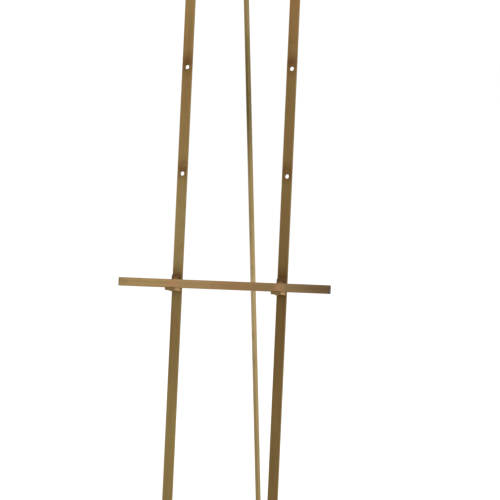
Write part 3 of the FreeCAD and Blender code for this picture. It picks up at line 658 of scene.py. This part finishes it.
def ringed(size, corner, stations):
    """A stack of rounded rectangles, each with its inset and level, still open at both ends."""
    shape = bmesh.new()
    inset, level = stations[0]
    corners = bmesh.ops.create_grid(shape, x_segments=1, y_segments=1, size=0.5)["verts"]
    bmesh.ops.scale(shape, vec=(size.x - 2 * inset, size.y - 2 * inset, 1), verts=corners)
    bmesh.ops.translate(shape, vec=(0, 0, level), verts=corners)
    bmesh.ops.bevel(shape, geom=corners, offset=corner, segments=4, profile=0.5, affect="VERTICES",
                    material=-1, clamp_overlap=True)
    bmesh.ops.delete(shape, geom=shape.faces[:], context="FACES_ONLY")
    first = ring = shape.edges[:]
    for next_inset, next_level in stations[1:]:
        spread = [(side - 2 * next_inset) / (side - 2 * inset) for side in size.xy]
        ring = push_ring(shape, ring, (0, 0, next_level - level))
        points = list({vertex for edge in ring for vertex in edge.verts})
        bmesh.ops.scale(shape, vec=(*spread, 1), verts=points)
        inset, level = next_inset, next_level
    return shape, first, ring


def lay_level(ring, turn, height):
    """Slide the points of a ring along the bar until they are at a height over the floor."""
    for vertex in {vertex for edge in ring for vertex in edge.verts}:
        vertex.co.z += (height - (turn @ vertex.co).z) / turn[2][2]


def cut_tread(shape, face, size, middle):
    """Sink every other strip of a sole."""
    strips = int(size.x / BOOT["tread_pitch"]) * 2 + 1
    for number in range(1, strips):
        across = middle.x + (number / strips - 0.5) * size.x
        sole = [item for item in shape.faces if item.normal.dot(face) > ALMOST_PARALLEL]
        around = {item for strip in sole for item in (*strip.verts, *strip.edges)}
        bmesh.ops.bisect_plane(shape, geom=sole + list(around), plane_co=(across, 0, 0), plane_no=(1, 0, 0))
    sole = [item for item in shape.faces if item.normal.dot(face) > ALMOST_PARALLEL]
    sole.sort(key=lambda strip: strip.calc_center_median().x)
    bmesh.ops.inset_individual(shape, faces=sole[1::2], thickness=BOOT["groove_depth"] / 3,
                               depth=-BOOT["groove_depth"], use_even_offset=True)


def rubber_boot(low, high, turn):
    """A boot in the box of its CAD node, square to its bar, with its sole on the floor."""
    size, middle = high - low, (low + high) / 2
    stations = [(0, low.z)]
    for number in reversed(range(BOOT["grooves"])):
        top = high.z - BOOT["lip"] - number * BOOT["groove_pitch"]
        bottom = top - BOOT["groove_width"]
        depth = BOOT["groove_depth"]
        stations += [(0, bottom), (depth, bottom + depth / 2), (depth, top - depth / 2), (0, top)]
    rim, wall = BOOT["rim_round"], BOOT["wall"]
    stations += [(0, high.z - rim), (rim, high.z), (wall - rim, high.z), (wall, high.z - rim),
                 (wall, low.z + BOOT["sole"])]
    shape, sole_ring, socket_ring = ringed(size, BOOT["corner"], stations)
    bmesh.ops.translate(shape, vec=(middle.x, middle.y, 0), verts=shape.verts)
    lay_level(sole_ring, turn, 0)
    lay_level(socket_ring, turn, BOOT["sole"])
    bmesh.ops.contextual_create(shape, geom=socket_ring)
    bmesh.ops.contextual_create(shape, geom=sole_ring)
    bmesh.ops.recalc_face_normals(shape, faces=shape.faces)
    cut_tread(shape, turn.inverted() @ Vector((0, 0, -1)), size, middle)
    return shape


rubber = fine_finish("moulded_rubber", "1B1A18", "2C2A27", 100, 900, 0.75, 0.00012)
for node, turn, body in (("left_front_boot", LEAN, "frame"), ("right_front_boot", LEAN, "frame"),
                         ("rear_boot", LEG_LEAN, "leg")):
    boot = rubber_boot(*bench_box(node, turn), turn)
    add_piece(node.replace("boot", "rubber_boot"), boot, rubber, body, [node], turn)


# ------------------------------------------------------ ledge tube and its plugs
# The ledge is a 16 mm square brass tube, brushed along its length; it has darkened
# towards its right end, and its front has a paler patch at each bracket.
# A brown moulded plug with a crowned face closes each end of the tube.

LEDGE_TONES = [(0.0, "8C7750"), (0.1, "997F54"), (0.35, "957C56"), (0.55, "8B6D4A"), (0.8, "7F6849"),
               (1.0, "64513A")]
PLUG = {"flange": 0.0016, "wall": 0.0016, "corner": 0.0015, "crown": 0.0003, "edge": 0.0003,
        "ribs": 3, "rib_height": 0.0004, "rib_width": 0.0008, "crown_steps": (0.15, 0.3, 0.42)}
# The paler patches on the tube's front sit just right of each bracket's peg.
PALE_PATCH_OFFSET = 0.006
left_joint, right_joint = (Vector(joints[side + "_nut_turn"]["pos_m"]) for side in ("left", "right"))
ledge_low, ledge_high = bench_box("ledge_tube")
ledge_middle = (ledge_low + ledge_high) / 2
pale_patch_spots = [(place.x + PALE_PATCH_OFFSET, ledge_low.y - ledge_middle.y, 0) for place in (left_joint, right_joint)]
coat("ledge_tube", aged_brass("ledge_patina", "ledge_tube", LEAN, "X", LEDGE_TONES, 110, pale_spots=pale_patch_spots))


def tube_plug(low, high, outer_side):
    """A plug in the box of its CAD node: ribbed spigot in the tube, then a crowned flange."""
    size, middle = high - low, (low + high) / 2
    spigot, wall, edge = size.x - PLUG["flange"], PLUG["wall"], PLUG["edge"]
    rib = wall - PLUG["rib_height"]
    stations = [(wall + 2 * edge, 0), (wall, 2 * edge)]
    for number in range(1, PLUG["ribs"] + 1):
        start = spigot * number / (PLUG["ribs"] + 1)
        stations += [(wall, start), (rib, start + edge), (rib, start + PLUG["rib_width"]),
                     (wall, start + PLUG["rib_width"] + edge)]
    stations += [(wall, spigot), (edge, spigot), (0, spigot + edge), (0, size.x - PLUG["crown"] - edge),
                 (edge, size.x - PLUG["crown"])]
    for step in PLUG["crown_steps"]:
        rise = PLUG["crown"] * (1 - (1 - step / PLUG["crown_steps"][-1]) ** 2)
        stations.append((size.y * step, size.x - PLUG["crown"] + rise))
    shape, inner_ring, outer_ring = ringed(Vector((size.z, size.y, 0)), PLUG["corner"], stations)
    close_ring(shape, inner_ring)
    close_ring(shape, outer_ring)
    bmesh.ops.recalc_face_normals(shape, faces=shape.faces)
    outward = Matrix.Rotation(outer_side * math.pi / 2, 3, "Y")
    bmesh.ops.rotate(shape, cent=(0, 0, 0), matrix=outward, verts=shape.verts)
    inner_end = low.x if outer_side > 0 else high.x
    bmesh.ops.translate(shape, vec=(inner_end, middle.y, middle.z), verts=shape.verts)
    return shape


plug_brown = fine_finish("moulded_brown_plastic", "3C2A18", "4A3520", 120, 1600, 0.55, 0.00005)
for side, outer_side in (("left", -1), ("right", 1)):
    node = side + "_ledge_plug"
    plug = tube_plug(*bench_box(node), outer_side)
    add_piece(side + "_crowned_plug", plug, plug_brown, "ledge", [node])


# ------------------------------------------------- ledge brackets and screws
# Each bracket is a 19 x 5 mm brass strap bent square in a press: its plate lies
# on the upright and its arm goes forward under the tube. A short screw from below
# fastens the arm to the tube. The arms are painted pale, a painted reflection of
# the floor. The plates and the forward ends of the arms are painted darker, as
# painted shade round the tube.

# Painted light: the pale arm is a painted reflection of the floor, the dark plate painted shade behind the tube.
STRAP_SHEEN_AND_SHADE_TONES = [(0.0, "AA8560"), (0.6, "AA8560"), (0.9, "5E432D")]
# Painted shade on the forward end of each arm.
STRAP_END_SHADE_TONES = [(0.0, "6E5A38")]
LEDGE_SCREW = {"width": 0.007, "height": 0.0018, "shank": 0.004, "socket": 0.0022, "depth": 0.001}
for seed, side in enumerate(("left", "right")):
    node = side + "_ledge_bracket"
    # Patina together with painted light: the arm as painted reflection, the plate and the arm's end as painted
    # shade.
    coat(node, aged_brass(side + "_bracket_patina", node, LEAN, "Y", STRAP_SHEEN_AND_SHADE_TONES, 130 + 10 * seed,
                          front_tones=STRAP_END_SHADE_TONES))

low, high = bench_box("ledge_screws")
screw = socket_screw(length=high.z - low.z, **LEDGE_SCREW)
half = LEDGE_SCREW["width"] / 2
seats = [(across, (low.y + high.y) / 2, low.z) for across in (low.x + half, high.x - half)]
add_piece("ledge_button_screws", repeated(screw, seats), fastener_brass, "ledge",
          ["ledge_screws"])


# ------------------------------------------------- pegs, washers and thumb nuts
# A brass peg with a domed head is fixed in each strap and goes through the upright.
# Its tail is threaded for a thumb nut with a grooved rim, tightened by hand on a
# plain washer. The ledge is moved to other holes by taking off the two nuts.

PEG = {"width": 0.012, "height": 0.0022, "shank": 0.008}
THREAD = {"pitch": 0.00125, "depth": 0.0006, "length": 0.0135, "steps_in_pitch": 8, "tip_share": 0.6}
THUMB_NUT = {"width": 0.016, "collar": 0.012, "collar_height": 0.002, "bore": 0.0082, "groove": 0.0008,
             "groove_inset": 0.00027, "grooves": 24, "dish": 0.0006}
PEG_WASHER_WIDTH = 0.014


def threaded_peg(width, height, shank, length):
    """A headed peg along Z whose tail carries a helical thread."""
    dome = [(radius, height - level) for radius, level in crown(width, height, height * 0.33)]
    start = length - THREAD["length"]
    rings = int(THREAD["length"] / THREAD["pitch"] * THREAD["steps_in_pitch"])
    tail = [(shank / 2, start + THREAD["length"] * ring / rings) for ring in range(rings + 1)]
    shape = turned(dome[::-1] + [(width / 2, height), (shank / 2, height)] + tail + [(0, length)])
    for vertex in shape.verts:
        if vertex.co.z < start or vertex.co.xy.length < shank / 4:
            continue
        turns = math.atan2(vertex.co.y, vertex.co.x) / FULL_TURN
        phase = ((vertex.co.z - start) / THREAD["pitch"] - turns) % 1.0
        run_in = min(1.0, (vertex.co.z - start) / THREAD["pitch"])
        run_out = min(1.0, (length - vertex.co.z) / THREAD["pitch"])
        depth = THREAD["depth"] * (run_in * abs(2 * phase - 1) + (1 - run_out) * THREAD["tip_share"])
        vertex.co.xy *= 1 - depth / (shank / 2)
    mark_lathe_rings(shape)
    return shape


def thumb_nut(width, collar, collar_height, bore, groove, groove_inset, grooves, dish, length):
    """A round nut along Z: a narrow collar, then a rim with rounded grooves and a dished face."""
    rim, shoulder = width / 2, width / 2 - groove
    outline = [(bore / 2, 0), (collar / 2, 0), (collar / 2, collar_height), (shoulder, collar_height),
               (rim, collar_height + groove), (rim, length - groove), (shoulder, length),
               (shoulder - groove, length), (shoulder - 2 * groove, length - dish),
               (bore / 2 + groove / 2, length - dish), (bore / 2, length - dish - groove / 2)]
    shape = turned(outline, closed=True, steps=8 * grooves)
    for vertex in shape.verts:
        if vertex.co.xy.length < rim - groove / 2:
            continue
        angle = math.atan2(vertex.co.y, vertex.co.x)
        off_groove = (angle * grooves / FULL_TURN + 0.5) % 1.0 - 0.5
        across = off_groove * FULL_TURN / grooves * rim
        depth = math.sqrt(max(0.0, groove ** 2 - across ** 2)) - groove_inset
        vertex.co.xy *= 1 - max(0.0, depth) / rim
    mark_lathe_rings(shape)
    return shape


# Painted shade: the pegs' brass is dark to stand for the shade behind the tube, where their heads sit.
peg_brass = turned_brass("shaded_peg_brass", "4C3822", "6C5234", 64)
for side in ("left", "right"):
    low, high = bench_box(side + "_peg")
    middle = (low + high) / 2
    peg = threaded_peg(length=high.y - low.y, **PEG)
    bmesh.ops.transform(peg, matrix=TO_THE_BACK, verts=peg.verts)
    bmesh.ops.translate(peg, vec=(middle.x, low.y, middle.z), verts=peg.verts)
    add_piece(side + "_threaded_peg", peg, peg_brass, "ledge", [side + "_peg"])

    low, high = bench_box(side + "_thumb_nut")
    nut = thumb_nut(length=high.y - low.y, **THUMB_NUT)
    bmesh.ops.transform(nut, matrix=TO_THE_BACK, verts=nut.verts)
    bmesh.ops.translate(nut, vec=(middle.x, low.y, middle.z), verts=nut.verts)
    add_piece(side + "_grooved_nut", nut, fastener_brass, side + "_nut",
              [side + "_thumb_nut"])

low, high = bench_box("peg_washers")
washer = plain_ring(THUMB_NUT["bore"], PEG_WASHER_WIDTH, high.y - low.y, 0.0002)
bmesh.ops.transform(washer, matrix=TO_THE_BACK, verts=washer.verts)
spots = ring_spots("peg_washers", PEG_WASHER_WIDTH)
washers = repeated(washer, [(across, low.y, up) for across, up in spots])
add_piece("peg_plain_washers", washers, fastener_brass, "frame", ["peg_washers"])


# --------------------------------------------------------------------- studio
# A plain pale floor in soft white light from all round, with large softboxes to the
# left, to the right and behind. The camera stands to the right of the easel, above
# the ledge, and its long lens takes in the ledge and the peg holes above it.

FLOOR_SIZE = 40.0
FLOOR_COLOUR = (0.95, 0.95, 0.95, 1)
FLOOR_ROUGHNESS = 0.7
SENSOR_WIDTH = 36
FAR_ENOUGH = 100
WORLD_STRENGTH = 1.08
SOFTBOXES = {"left_softbox": ((-2.6, -3.2, 2.6), 2.4, 20), "right_softbox": ((3.2, -0.6, 2.0), 2.0, 16),
             "back_softbox": ((0.8, 3.0, 2.8), 2.4, 16)}
VIEW = {"around": math.radians(14.0), "above": math.radians(7.5), "roll": math.radians(0.2),
        "distance": 4.42, "lens": 169.5}
AIM_OFF_PEGS = Vector((0.0394, 0, 0.0632))

floor_mesh = bpy.data.meshes.new("floor")
floor_shape = bmesh.new()
bmesh.ops.create_grid(floor_shape, x_segments=1, y_segments=1, size=FLOOR_SIZE / 2)
floor_shape.to_mesh(floor_mesh)
floor_shape.free()
floor = bpy.data.objects.new("floor", floor_mesh)
bpy.context.scene.collection.objects.link(floor)
floor_finish, floor_shader = new_finish("pale_floor", 0.0)
floor_shader.inputs["Base Color"].default_value = FLOOR_COLOUR
floor_shader.inputs["Roughness"].default_value = FLOOR_ROUGHNESS
floor_mesh.materials.append(floor_finish)

world = bpy.data.worlds.new("studio")
world.use_nodes = True
world.node_tree.nodes["Background"].inputs["Color"].default_value = (1, 1, 1, 1)
world.node_tree.nodes["Background"].inputs["Strength"].default_value = WORLD_STRENGTH
bpy.context.scene.world = world
bpy.context.scene.view_settings.view_transform = "Standard"

easel_middle = (cad_low + cad_high) / 2
for name, (place, size, power) in SOFTBOXES.items():
    light = bpy.data.lights.new(name, "AREA")
    light.shape = "SQUARE"
    light.size = size
    light.energy = power
    lamp = bpy.data.objects.new(name, light)
    lamp.location = place
    lamp.rotation_mode = "QUATERNION"
    lamp.rotation_quaternion = (easel_middle - Vector(place)).to_track_quat("-Z", "Y")
    bpy.context.scene.collection.objects.link(lamp)

aim = (left_joint + right_joint) / 2 + AIM_OFF_PEGS
away = Vector((math.sin(VIEW["around"]) * math.cos(VIEW["above"]),
               -math.cos(VIEW["around"]) * math.cos(VIEW["above"]), math.sin(VIEW["above"])))
camera = bpy.data.objects.new("camera", bpy.data.cameras.new("camera"))
camera.data.lens = VIEW["lens"]
camera.data.sensor_width = SENSOR_WIDTH
camera.data.clip_end = FAR_ENOUGH
camera.location = aim + away * VIEW["distance"]
camera.rotation_mode = "QUATERNION"
camera.rotation_quaternion = away.to_track_quat("Z", "Y") @ Quaternion((0, 0, 1), VIEW["roll"])
bpy.context.scene.collection.objects.link(camera)
bpy.context.scene.camera = camera
